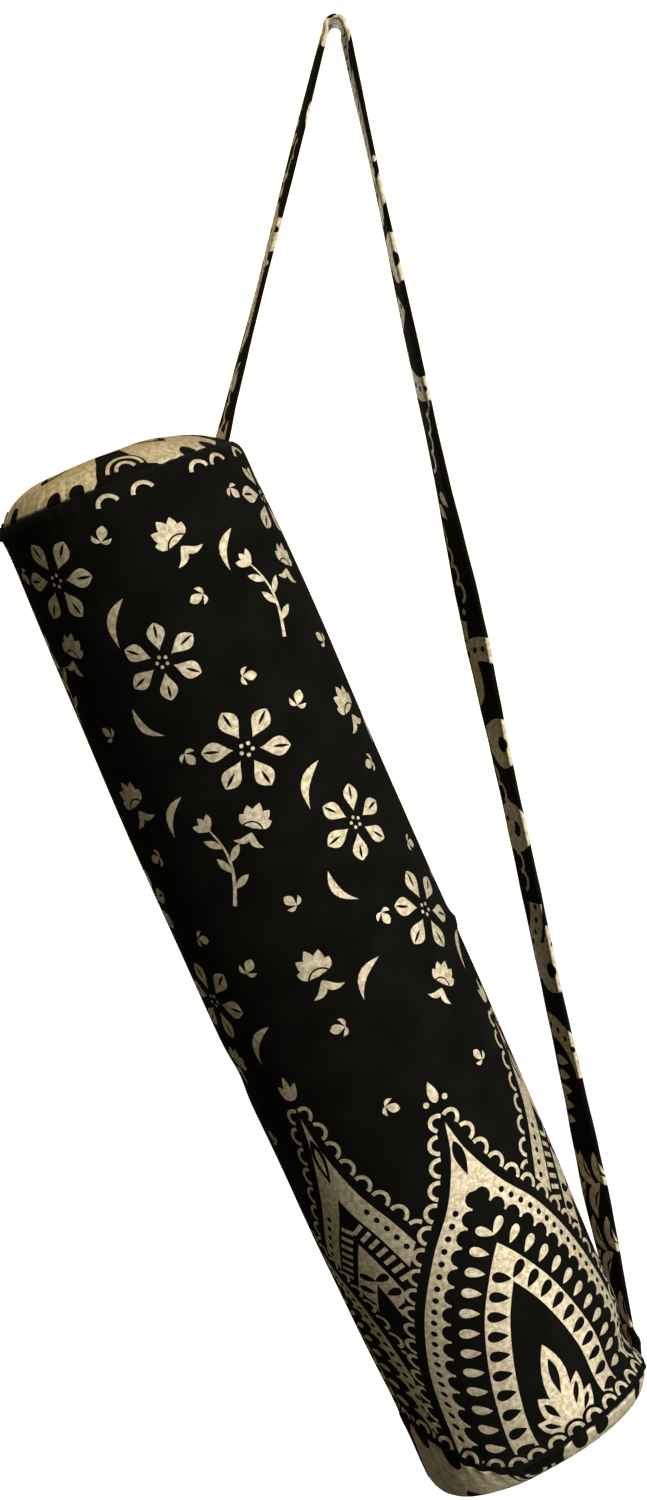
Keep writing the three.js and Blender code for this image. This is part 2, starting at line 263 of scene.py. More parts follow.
def section(distance):
    along = distance / TUBE_LENGTH
    tilt = np.radians(between(SECTIONS, 3, along))[..., None]
    shift = (RADIUS * between(SECTIONS, 2, along))[..., None]
    middle = TOP_SEAM + distance[..., None] * DOWN + shift * RIGHT
    side = np.cos(tilt) * RIGHT + np.sin(tilt) * DOWN
    return middle, side, along


def tube_point(distance, angle, lift=0, dented=True):
    """A point of the tube: millimetres down from the top seam, and degrees round from the
    right-hand side towards the back."""
    distance, angle = alike(distance, angle)
    middle, side, along = section(distance)
    width = between(SECTIONS, 1, along)
    depth = np.sqrt(2 - width * width)
    out = lift - turned_in(distance, TOP_CORNER, TOP_INSET)
    out = out - turned_in(TUBE_LENGTH - distance, BOTTOM_CORNER, BOTTOM_INSET)
    if dented:
        out = out - dent_depth(along, angle)
    a = np.radians(angle)
    across = ((width * RADIUS + out) * np.cos(a))[..., None]
    away = ((depth * RADIUS + out) * np.sin(a))[..., None]
    return middle + across * side + away * BACK


def disc_point(end, share, angle, lift=0):
    """A point of a domed end disc: share is 1 at its seam and 0 at its middle."""
    share, angle, distance = alike(share, angle, end["distance"])
    middle, side, _ = section(distance)
    rim = tube_point(distance, angle)
    out = np.cross(side, BACK) * -end["outward"]
    power = end["fullness"] * np.exp(end["lean"] * np.cos(np.radians(angle)))
    rise = SEAM_GAP + end["rise"] * (1 - share**power) + lift
    return middle + share[..., None] * (rim - middle) + rise[..., None] * out


def drawn_up(angle):
    """How far above the corner the bottom seam runs, at an angle."""
    off = np.abs((angle - DRAWN_MIDDLE + 180) % 360 - 180)
    return DRAWN_UP * (1 - smoothstep(off, DRAWN_FULL, DRAWN_NONE))


def round_corner(path, angle, drawn):
    """What moves a point of the bottom disc, whose path from the middle is given, up the tube
    past the corner, and fills the corner out where no seam holds it in."""
    def place(at):
        climb = np.maximum(at - RADIUS, 0)
        disc = disc_point(BOTTOM_END, np.minimum(at / RADIUS, 1), angle)
        return disc + tube_point(TUBE_LENGTH - climb, angle) - tube_point(TUBE_LENGTH, angle)

    here = place(path)
    middle, side, _ = section(alike(TUBE_LENGTH, path)[0])
    rim = place(RADIUS)
    knee = rim + BEND_OUT * unit(rim - middle) - BEND_DOWN * np.cross(side, BACK)
    low, high = place(RADIUS - BEND_REACH), place(RADIUS + BEND_REACH)
    s = np.clip((path - RADIUS + BEND_REACH) / (2 * BEND_REACH), 0, 1)[..., None]
    bend = (1 - s)**2 * low + 2 * s * (1 - s) * knee + s**2 * high
    near = (np.abs(path - RADIUS) < BEND_REACH) * smoothstep(drawn, BEND_STARTS, BEND_FULL)
    flat = disc_point(BOTTOM_END, np.minimum(path / RADIUS, 1), angle)
    return here - flat + near[..., None] * (bend - here)


# Cutting and printing cloth

def divide(line, longest, closed):
    """A line with its long steps divided."""
    ends = np.roll(line, -1) if closed else line[1:]
    parts = []
    for a, b in zip(line, ends):
        count = max(1, math.ceil(abs(b - a) / longest))
        parts.append(a + (b - a) * np.arange(count) / count)
    if not closed:
        parts.append(line[-1:])
    return np.concatenate(parts)


def inside(outline, points):
    """Which points lie inside an outline."""
    x, y = points.real, points.imag
    result = np.zeros(len(points), bool)
    for a, b in zip(outline, np.roll(outline, -1)):
        if a.imag != b.imag:
            crosses = (a.imag > y) != (b.imag > y)
            at = (b.real - a.real) * (y - a.imag) / (b.imag - a.imag) + a.real
            result ^= crosses & (x < at)
    return result


class Cloth:
    """A flat piece of cloth, as complex numbers in millimetres, x to the right and y down.
    Outlines are painted one over another, gold or black, and cut into the mesh, so that the
    print has clean edges. Lines are cut into it too, where it is folded."""

    def __init__(self, outline, filler, longest):
        self.longest = longest
        self.outline = divide(outline, longest, True)
        self.filler = filler
        self.lines = []
        self.shapes = []

    def gold(self, shape, at=0, turn=0, size=1):
        self.paint(put(shape, at, turn, size), True)

    def black(self, shape, at=0, turn=0, size=1):
        self.paint(put(shape, at, turn, size), False)

    def paint(self, shape, is_gold):
        low, high = self.outline.real.min(), self.outline.real.max()
        bottom, top = self.outline.imag.min(), self.outline.imag.max()
        if shape.real.max() > low and shape.real.min() < high:
            if shape.imag.max() > bottom and shape.imag.min() < top:
                self.shapes.append((divide(shape, self.longest, True), is_gold))

    def line(self, line):
        self.lines.append(line)

    def cut(self):
        """Vertices, triangles and which of them are gold."""
        points, edges = [self.filler], []
        start = len(self.filler)
        closed = [self.outline] + [shape for shape, _ in self.shapes]
        for i, chain in enumerate(closed + self.lines):
            count = len(chain)
            points.append(chain)
            ends = range(count if i < len(closed) else count - 1)
            edges += [(start + j, start + (j + 1) % count) for j in ends]
            start += count
        flat = [Vector((p.real, p.imag)) for p in np.concatenate(points)]
        verts, _, faces, *_ = delaunay_2d_cdt(flat, edges, [], 0, 1e-4, False)
        verts = np.array([complex(*v) for v in verts])
        faces = np.array(faces)
        centres = verts[faces].mean(1)
        keep = inside(self.outline, centres)
        faces, centres = faces[keep], centres[keep]
        order = np.argsort(centres.real)
        ranked = centres[order]
        gold = np.zeros(len(faces), bool)
        for shape, is_gold in self.shapes:
            first, last = np.searchsorted(ranked.real, (shape.real.min(), shape.real.max()))
            near = np.arange(first, last)
            height = ranked.imag[near]
            near = near[(height >= shape.imag.min()) & (height <= shape.imag.max())]
            near = near[inside(shape, ranked[near])]
            gold[order[near]] = is_gold
        used, faces = np.unique(faces, return_inverse=True)
        return verts[used], faces.reshape(-1, 3), gold


def cloth_object(name, cloth, place, materials, step=0.4):
    """Lays a cut cloth over a form. place turns flat x and y into points in millimetres."""
    verts, faces, gold = cloth.cut()
    x, y = verts.real, verts.imag
    points = place(x, y)
    over_x = place(x + step, y) - place(x - step, y)
    over_y = place(x, y + step) - place(x, y - step)
    normals = np.cross(over_y, over_x)
    normals /= np.maximum(np.linalg.norm(normals, axis=1), 1e-9)[:, None]
    mesh = bpy.data.meshes.new(name)
    mesh.from_pydata((points * MM).tolist(), [], faces[:, ::-1].tolist())
    mesh.polygons.foreach_set("material_index", gold.astype(np.int32))
    mesh.polygons.foreach_set("use_smooth", np.ones(len(faces), bool))
    layer = mesh.uv_layers.new(name="flat_cut")
    loops = np.empty(len(mesh.loops), np.int32)
    mesh.loops.foreach_get("vertex_index", loops)
    flat = np.stack([x, y], 1)[loops] * 0.01
    layer.data.foreach_set("uv", flat.ravel().astype(np.float32))
    for material in materials:
        mesh.materials.append(material)
    mesh.update()
    mesh.normals_split_custom_set_from_vertices(normals.tolist())
    return linked(name, mesh)


# Drawing: points are complex numbers in millimetres, x to the right and y down

def put(shape, at=0, turn=0, size=1):
    return at + shape * size * np.exp(1j * math.radians(turn))


def blade(long, wide, shift=1.0, sharp=1.0, bend=0.0, count=13):
    """A leaf, petal or drop that points along x. shift moves its widest part on, sharp below 1
    rounds its ends, and bend curves it."""
    s = (1 - np.cos(np.linspace(0, math.pi, count))) / 2
    half = wide / 2 * np.abs(np.sin(math.pi * s**shift)) ** sharp
    spine = long * (s + 1j * bend * np.sin(math.pi * s))
    side = 1j * direction(spine)
    return np.concatenate([spine + side * half, (spine - side * half)[-2:0:-1]])


def direction(line):
    ahead = np.gradient(line)
    return ahead / np.maximum(np.abs(ahead), 1e-9)


def ribbon(line, half):
    side = 1j * direction(line) * half
    return np.concatenate([line + side, (line - side)[::-1]])


def circle(at, radius, count=12):
    return at + radius * np.exp(1j * TAU * np.arange(count) / count)


def arc(at, radius, start, end, count=16):
    return at + radius * np.exp(1j * np.radians(np.linspace(start, end, count)))


def walked(line):
    """The length walked at each point of a line."""
    return np.concatenate([[0], np.cumsum(np.abs(np.diff(line)))])


def after(line, at):
    """The places on a line after some lengths of it."""
    run = walked(line)
    return np.interp(at, run, line.real) + 1j * np.interp(at, run, line.imag)


def even(line, pitch):
    """Points at an even pitch along a line."""
    run = walked(line)[-1]
    return after(line, np.linspace(0, run, max(2, int(round(run / pitch)) + 1)))


def scallops(line, pitch, high, thick, spread=0.5, count=8):
    """A chain of small arcs along a line, on its left as it is drawn with y down. spread: half
    the width of an arc, as a share of the pitch."""
    points = even(line, pitch)
    t = np.linspace(0, math.pi, count)
    shapes = []
    for a, b in zip(points[:-1], points[1:]):
        way = (b - a) / abs(b - a)
        bow = (a + b) / 2 - (b - a) * spread * np.cos(t) - 1j * way * high * np.sin(t)
        shapes.append(ribbon(bow, thick / 2))
    return shapes


def smooth_line(points, count=8):
    """A smooth line through complex points."""
    p = np.array([2 * points[0] - points[1], *points, 2 * points[-1] - points[-2]])
    t = np.linspace(0, 1, count, endpoint=False)
    parts = []
    for a, b, c, d in zip(p[:-3], p[1:-2], p[2:-1], p[3:]):
        parts.append(
            0.5 * (2 * b + (c - a) * t + (2 * a - 5 * b + 4 * c - d) * t**2
                   + (3 * b - a - 3 * c + d) * t**3)
        )
    return np.concatenate([*parts, [p[-2]]])


# across, up: half of a pointed arch, from its tip to its foot, as shares of its size
ARCH = (
    (0.0, 1.0), (0.07, 0.91), (0.24, 0.80), (0.50, 0.69), (0.76, 0.54),
    (0.94, 0.35), (1.0, 0.17), (0.985, 0.0),
)


class Arch:
    """A pointed arch that stands on a middle point of its base."""

    def __init__(self, at, half, high):
        self.at = at
        self.side = smooth_line([across * half - 1j * up * high for across, up in ARCH], 7)
        self.tip = at - 1j * high

    def half(self, inset):
        """From the middle line down to the right foot, moved in, or out where negative."""
        moved = self.side + 1j * direction(self.side) * inset
        if inset < 0:
            first = math.degrees(np.angle(moved[0] - self.side[0]))
            return np.concatenate([arc(self.side[0], -inset, -90, first, 6)[:-1], moved])
        keep = np.flatnonzero(moved.real <= 0)
        last = keep[-1] if len(keep) else 0
        a, b = moved[last], moved[last + 1]
        top = a + (b - a) * (0 - a.real) / (b.real - a.real)
        return np.concatenate([[1j * top.imag], moved[last + 1:]])

    def outline(self, inset):
        half = self.half(inset)
        return self.at + np.concatenate([-np.conj(half[:0:-1]), half])

    def places(self, inset, pitch, skip=0.0):
        """Even places down both sides, after a skipped length, with the ways inward."""
        half = self.half(inset)
        points = after(half, np.arange(skip, walked(half)[-1], pitch))
        inward = 1j * direction(points)
        points = np.concatenate([points, -np.conj(points)]) + self.at
        inward = np.concatenate([inward, -np.conj(inward)])
        low = points.imag < TUBE_LENGTH + 6
        return points[low], inward[low]

    def edging(self, inset, pitch, high, thick):
        """Small arcs down both sides, bulging out."""
        shapes = []
        for shape in scallops(self.half(inset), pitch, high, thick, 0.37, 10):
            shapes += [self.at + shape, self.at - np.conj(shape)]
        return shapes


def flower(cloth, at, size, turn):
    """An open flower: six split petals about a ring of seeds."""
    for i in range(6):
        way = turn + 60 * i
        cloth.gold(blade(15, 9.5, 1.5, 0.85), at + put(6.2, 0, way, size), way, size)
        cloth.black(blade(8, 1.6, 1.0, 0.8), at + put(12.5, 0, way, size), way, size)
    for i in range(5):
        cloth.gold(circle(at + put(2.9, 0, turn + 72 * i, size), 1.0 * size, 8))


def side_flower(cloth, at, size, turn):
    """A flower from the side: a fan of petals over a cup, with two leaves."""
    for way, long in ((-56, 13), (-28, 16), (0, 17.5), (28, 16), (56, 13)):
        cloth.gold(blade(long, 6.8, 1.45, 0.9), at, turn + way, size)
    cloth.black(ribbon(arc(-3, 7.5, -62, 62), 0.55), at, turn, size)
    foot = at - put(3, 0, turn, size)
    for side in (1, -1):
        cloth.gold(blade(13, 4.6, 0.8, 0.9, 0.22 * side), foot, turn + 128 * side, size)


def sprig(cloth, at, size, turn, way=1):
    """A bent stem with leaves on both sides and a bud at its end."""
    s = np.linspace(0, 1, 16)
    stem = 46 * (s + 0.2j * way * np.sin(math.pi * s * 0.8))
    cloth.gold(ribbon(stem, 0.45 + 0.75 * s[::-1]), at, turn, size)
    for i, side in ((3, 1), (6, -1), (8, 1), (11, -1)):
        lean = math.degrees(np.angle(direction(stem)[i]))
        cloth.gold(blade(12.5, 4.4, 1.1, 0.9), at + put(stem[i], 0, turn, size),
                   turn + lean + 42 * side, size)
    end = at + put(stem[-1], 0, turn, size)
    lean = turn + math.degrees(np.angle(direction(stem)[-1]))
    for spread in (-34, 0, 34):
        cloth.gold(blade(10.5, 4.2, 1.4, 0.8), end, lean + spread, size)


def bud(cloth, at, size, turn):
    cloth.gold(blade(9.5, 6.2, 1.35, 0.8), at, turn, size)
    for side in (1, -1):
        cloth.gold(blade(6.5, 2.6, 1.0, 0.9, 0.2 * side), at, turn + 62 * side, size)


def leaf(cloth, at, size, turn, bend=0.2):
    cloth.gold(blade(29, 5.6, 0.85, 1.15, bend), at, turn, size)


# kind, across, down, size, turn: the sprays of one repeat, as shares of the repeat
SPRAYS = (
    (flower, 0.13, 0.12, 1.2, 12),
    (bud, 0.37, 0.04, 1.0, 300),
    (side_flower, 0.62, 0.17, 0.98, 248),
    (leaf, 0.84, 0.20, 0.9, 118),
    (bud, 0.92, 0.03, 0.9, 60),
    (leaf, 0.36, 0.30, 1.0, 118),
    (bud, 0.63, 0.42, 0.95, 170),
    (side_flower, 0.04, 0.45, 0.86, 300),
    (sprig, 0.86, 0.74, 1.0, 262),
    (flower, 0.40, 0.62, 1.08, 40),
    (leaf, 0.22, 0.76, 0.85, 60),
    (bud, 0.64, 0.82, 0.9, 20),
    (bud, 0.07, 0.84, 0.9, 230),
)
REPEATS = 3
REPEAT = GIRTH / REPEATS
SPRAY_HIGH = 132
SPRAY_START = 24
SPRAY_SHIFT = 0.42
SMALL_ROOM, LARGE_ROOM, ARCH_ROOM = 13, 20, 20
ARCH_BASE = 648
ARCH_SHIFT = 24
WIDE_HALF, WIDE_HIGH = 75, 228
TALL_HALF, TALL_HIGH = 62, 262
# way, length, width: the petals of the half flower in a wide arch
HALF_FLOWER = ((-140, 27, 10), (-40, 27, 10), (-116, 34, 12), (-64, 34, 12), (-90, 58, 17))
HEM_ARCS, HEM_RISE = 34, 4.5
COLLAR_ARCS = (0.05, 0.11, 0.485, 0.53, 0.61, 0.645, 0.70, 0.86, 0.93)


def tube_print(cloth):
    """Loose sprays above and a deep border of arches below."""
    middles = [(column + 0.5) * REPEAT + ARCH_SHIFT for column in range(-1, REPEATS + 1)]
    tall = [Arch(x + REPEAT / 2 + 1j * ARCH_BASE, TALL_HALF, TALL_HIGH) for x in middles]
    wide = [Arch(x + 1j * ARCH_BASE, WIDE_HALF, WIDE_HIGH) for x in middles]
    taken = [arch.outline(-ARCH_ROOM) for arch in tall + wide]
    for row in range(4):
        for column in range(-2, REPEATS + 1):
            for kind, across, down, size, turn in SPRAYS:
                x = (column + across + SPRAY_SHIFT * row) * REPEAT
                y = SPRAY_START + (row + down) * SPRAY_HIGH
                room = SMALL_ROOM if kind in (bud, leaf) else LARGE_ROOM
                about = circle(x + 1j * y, room)
                if not any(inside(outline, about).any() for outline in taken):
                    kind(cloth, x + 1j * y, size, turn + 7 * row)
    for arch in tall:
        tall_arch(cloth, arch)
    for arch in wide:
        wide_arch(cloth, arch)
    for arch in wide:
        gap = arch.at + REPEAT / 2 - 1j * (WIDE_HIGH * 0.5)
        bud(cloth, gap - 96j, 1.0, -90)
    cloth.black(ribbon(np.linspace(-4, GIRTH + 4, 160) + 1j * (TUBE_LENGTH + 1), 6))
    hem = [(i + 0.5) * GIRTH / HEM_ARCS for i in range(HEM_ARCS)]
    hem_height = 1j * (TUBE_LENGTH - HEM_RISE)
    for x in hem:
        cloth.black(along_seam(x, circle(x + hem_height, 8.0, 24)))
    for x in hem:
        row = arc(x + hem_height, 4.7, 178, 362, 14)
        cloth.gold(along_seam(x, ribbon(row, 1.25)))
    for place in COLLAR_ARCS:
        at = place * GIRTH + 12j
        cloth.black(circle(at, 9, 24))
        cloth.gold(ribbon(arc(at, 6.2, 188, 345, 14), 1.2))


def along_seam(x, shape):
    """A shape on the flat cut that looks turned with the bottom seam once it is laid."""
    def up(place):
        return drawn_up(90 + 360 * place / GIRTH)

    foot = x + 1j * TUBE_LENGTH
    slope = up(x - 1) - up(x + 1)
    turned = foot - 1j * up(x) + (shape - foot) * (1 + 0.5j * slope) / abs(1 + 0.5j * slope)
    return turned + 1j * up(turned.real)


def dotted(cloth, points, radius):
    for point in points:
        cloth.black(circle(point, radius, 11))


def drops(paint, points, inward, long, wide, shift=0.62):
    """Drops along a line, their round ends outward."""
    for point, way in zip(points, np.degrees(np.angle(inward))):
        paint(blade(long, wide, shift, 0.8), point - put(long / 2, 0, way), way)


def arch_rim(cloth, arch):
    """An arch's gold, with small gold arcs round it and black between."""
    cloth.black(arch.outline(-12))
    for shape in arch.edging(-6, 13.2, 5.4, 2.4):
        cloth.gold(shape)
    cloth.black(arch.outline(-3.2))
    cloth.gold(arch.outline(0))


def tall_arch(cloth, arch):
    """An arch that stands behind: a dotted band, ladder strokes and a long leaf."""
    arch_rim(cloth, arch)
    dotted(cloth, arch.places(5.6, 7.6, 40)[0], 1.9)
    cloth.black(arch.outline(14))
    for point, way in zip(*arch.places(20.5, 6.6, 8)):
        cloth.gold(ribbon(point + way * np.array([-4.6, 4.6]), 1.45))
    cloth.gold(arch.outline(29))
    drops(cloth.black, *arch.places(36, 11, 12), 12, 5.6)
    cloth.black(arch.outline(42.5))
    cloth.black(blade(30, 9, 0.8, 1.1), arch.tip + 14j, 90)
    cloth.gold(blade(18, 3.8, 0.8, 1.0), arch.tip + 20j, 90)
    for way, long in ((-90, 15), (-55, 12), (-125, 12)):
        cloth.gold(blade(long, 5.6, 0.7, 0.8), arch.tip - 12j, way)


def wide_arch(cloth, arch):
    """An arch in front: a scalloped and dotted band, a row of drops and a half flower."""
    arch_rim(cloth, arch)
    dotted(cloth, arch.places(5.2, 7.6, 34)[0], 1.9)
    cloth.black(arch.outline(14.5))
    dotted(cloth, arch.places(14.5, 11.5, 6)[0], 5.2)
    drops(cloth.gold, *arch.places(25, 12, 7), 12, 5.6)
    cloth.gold(arch.outline(34))
    drops(cloth.black, *arch.places(41.5, 11.5, 10), 12.5, 6.4)
    cloth.black(arch.outline(49))
    cloth.black(blade(22, 7, 0.75, 1.0), arch.tip + 12j, 90)
    foot = arch.at - 24j
    for way, long, wide in HALF_FLOWER:
        cloth.gold(blade(long, wide, 1.25, 0.9), foot, way)
        vein = foot + put(long * 0.42, 0, way)
        cloth.black(blade(long * 0.42, wide * 0.36, 1.25, 0.9), vein, way)
    cloth.gold(blade(13, 6, 0.7, 0.8), arch.tip - 13j, -90)
    for side in (-1, 1):
        cloth.gold(circle(arch.tip + 6 * side - 14j, 1.8, 10))


# way, width, rim scallops: the gold fans of an end disc
CAP_FANS = (
    (315, 96, (-30, -17, 16)), (222, 62, (-14, 2)), (148, 44, (-6,)),
    (84, 100, (-28, -10, 5, 24)), (24, 40, (8,)),
)


def cap_print(cloth, spin):
    """Large fans of gold about a middle flower, cut by black scallops at the rim."""
    for way, wide, scallops_at in CAP_FANS:
        way += spin
        cloth.gold(blade(86, wide, 1.9, 0.7), 0, way)
        cloth.black(blade(36, wide * 0.24, 1.3, 0.85), put(20, 0, way), way)
        cloth.gold(blade(24, wide * 0.12, 1.3, 0.85), put(26, 0, way), way)
        for off in scallops_at:
            cloth.black(circle(put(RADIUS - 1, 0, way + off), 5.4, 18))
    for (way, wide, _), (after, other, _) in zip(CAP_FANS, CAP_FANS[1:] + CAP_FANS[:1]):
        gap = spin + way - ((way - after) % 360) * (wide / (wide + other))
        rim = put(RADIUS - 4, 0, gap)
        for radius in (6, 11.5):
            cloth.black(ribbon(arc(0, radius, 95, 265, 14), 2.6), rim, gap)
            cloth.gold(ribbon(arc(0, radius, 100, 260, 14), 1.2), rim, gap)
    cloth.black(circle(0, 20, 40))
    for i in range(8):
        cloth.gold(blade(14, 7, 1.3, 0.9), put(4, 0, 45 * i), 45 * i)
    cloth.gold(circle(0, 2.6, 12))


# The strap's lower end, which rows of leaves fill. up, way: each row
STRAP_END = 150
STRAP_END_ROWS = ((140, 65), (120, 110), (99, 70), (76, 120), (52, 75), (30, 110), (8, 70))


def strap_print(cloth, width, length):
    """What a strip cut from the printed border shows: parts of bands, arcs, leaves and dots."""
    draw = np.random.default_rng(11)
    y = -20
    while y < length - STRAP_END:
        x = draw.uniform(0, width)
        kind = draw.integers(0, 6)
        at = x + 1j * y
        if kind == 0:
            turn = draw.uniform(0, 360)
            cloth.gold(ribbon(arc(0, 34, 0, 95, 24), 7.5), at, turn)
            for point in even(arc(0, 34, 4, 92, 30), 8.5):
                cloth.black(circle(at + put(point, 0, turn), 2.0, 10))
        elif kind == 1:
            turn = draw.uniform(60, 120)
            cloth.gold(blade(74, 26, 1.1, 0.8, 0.12), at, turn)
            cloth.black(ribbon(np.linspace(10, 62, 12) * (1 + 0.08j), 0.8), at, turn)
            for place in range(14, 62, 7):
                stroke = np.array([place, place + 4 + 8j])
                cloth.black(ribbon(stroke, 0.7), at, turn)
        elif kind == 2:
            turn = draw.uniform(60, 120)
            for shape in scallops(np.linspace(-22, 26, 20) + 0j, 12, 5.5, 2.5):
                cloth.gold(shape, at, turn)
        elif kind == 3:
            turn = draw.uniform(0, 180)
            cloth.gold(ribbon(arc(0, 60, 0, 44, 16), 6), at, turn)
            for point in even(arc(0, 48, 2, 40, 16), 8):
                cloth.gold(circle(at + put(point, 0, turn), 2.0, 10))
        elif kind == 4:
            turn = draw.uniform(0, 180)
            for i in range(5):
                cloth.gold(blade(14, 6.6, 0.62, 0.8), at + put(9.5j * i, 0, turn), turn)
        else:
            turn = draw.uniform(0, 360)
            cloth.gold(blade(40, 32, 1.2, 0.7), at, turn)
            cloth.black(circle(24, 5, 14), at, turn)
        y += draw.uniform(9, 19)
    for up, way in STRAP_END_ROWS:
        for share in (0.1, 0.36, 0.6, 0.86):
            at = width * share + 1j * (length - up)
            cloth.gold(blade(25, 9.5, 0.9, 1.0, 0.2), at, way)
            cloth.black(blade(15, 2, 0.9, 1.0, 0.2), at + put(5, 0, way), way)


# Laying the cuts over the bag

STRAP_PLACE = GIRTH * (STRAP_ANGLE + 270) / 360
TUCK = 3
SEAM_BAND = 16


def around_from(x, place):
    """The distance round the bag from a place, to both sides."""
    return (x - place + GIRTH / 2) % GIRTH - GIRTH / 2


def pucker_wave(turn):
    return np.sin(45 * turn + 1.7 * np.sin(5 * turn)) * (0.65 + 0.35 * np.sin(7 * turn + 1))


def pull_folds(x, distance):
    """Creases that fan out from where the strap pulls at a seam."""
    off = around_from(x, STRAP_PLACE)
    reach = np.hypot(off, distance)
    fan = np.arctan2(off, distance + 2)
    return 1.1 * np.exp(-reach / 30) * np.cos(6 * fan + 0.4) * reach / (reach + 8)


def tube_folds(x, y):
    turn = TAU * x / GIRTH
    from_top = np.maximum(y, 0)
    from_bottom = np.maximum(TUBE_LENGTH - y, 0)
    lift = 0.6 * pucker_wave(turn) * np.exp(-from_top / 8)
    lift = lift + 0.75 * pucker_wave(turn + 1.1) * np.exp(-from_bottom / 9)
    lift = lift + pull_folds(x, from_top) + pull_folds(x, from_bottom)
    lift = lift + 0.5 * np.sin(3 * turn + y / 95) + 0.4 * np.sin(5 * turn - y / 62 + 1)
    lift = lift + 0.22 * np.sin(9 * turn + y / 34 + 2) * np.sin(y / 51 + 2 * np.sin(turn))
    bump = (around_from(x, 0.75 * GIRTH) / 9) ** 2 + ((y - 322) / 4.5) ** 2
    seam = np.abs(around_from(x, 0))
    lift = lift + 2.3 * np.exp(-bump)
    return lift - 0.9 * np.exp(-((seam / 1.3) ** 2)) + 0.4 * np.exp(-(((seam - 4) / 2.4) ** 2))


def tube_skin(x, y):
    beyond = np.minimum(y, 0) + np.minimum(TUBE_LENGTH - y, 0)
    angle = 90 + 360 * x / GIRTH
    up = drawn_up(angle) * smoothstep(y, TUBE_LENGTH - DRAWN_OVER, TUBE_LENGTH)
    distance = np.clip(y, 0, TUBE_LENGTH) - up
    return tube_point(distance, angle, tube_folds(x, y) + beyond)


def cap_skin(end, turn_way, phase):
    """The place on a domed end of a point of its flat disc."""
    def skin(x, y):
        reach = np.hypot(x, y)
        angle = np.degrees(np.arctan2(turn_way * y, x))
        drawn = drawn_up(angle) if end is BOTTOM_END else np.zeros_like(angle)
        path = np.minimum(reach, RADIUS) * (1 + drawn / RADIUS)
        share = np.minimum(path / RADIUS, 1)
        turn = np.radians(angle - 90) % TAU
        tuck = np.maximum(reach - RADIUS, 0)
        pucker = pucker_wave(turn + phase) * np.exp(-(RADIUS + drawn - path) / 8)
        soft = 0.6 * np.sin(x / 17 + 1) * np.sin(y / 21) + 0.35 * np.sin(x / 9 - y / 12)
        point = disc_point(end, share, angle, 0.6 * pucker + soft * (1 - share**6) - 0.3 * tuck)
        middle = section(alike(end["distance"], share)[0])[0]
        rim = disc_point(end, np.ones_like(share), angle)
        inward = unit(middle - rim)
        if end is BOTTOM_END:
            point = point + round_corner(path, angle, drawn)
        return point + inward * (tuck - 0.5 * pucker * share**8)[..., None]
    return skin


def over_top_seam(across, angle, lift=0):
    """A point on the outside round the top seam: across it, over the disc where positive."""
    across, angle, lift = alike(across, angle, lift)

    def skin(place, turn):
        disc = disc_point(TOP_END, 1 - np.maximum(place, 0) / RADIUS, turn)
        return np.where((place > 0)[..., None], disc, tube_point(np.maximum(-place, 0), turn))

    step = 0.5
    along = skin(across + step, angle) - skin(across - step, angle)
    around = skin(across, angle + step) - skin(across, angle - step)
    normal = unit(np.cross(along, around))
    here = skin(across, angle)
    inner = section(np.array(DISC_DIAMETER / 4))[0]
    facing = np.sign(np.sum(normal * (here - inner), -1))[..., None]
    return here + normal * facing * lift[..., None]


# The strap

FOLD = STRAP_THICKNESS / 2
STRAP_FLAT = STRAP_WIDTH - STRAP_THICKNESS
STRAP_GIRTH = 2 * STRAP_FLAT + TAU * FOLD
EDGE_RUN = math.pi * FOLD
STITCH_LINE = STRAP_WIDTH / 2 - 2.4
STRAP_TUCK = 4


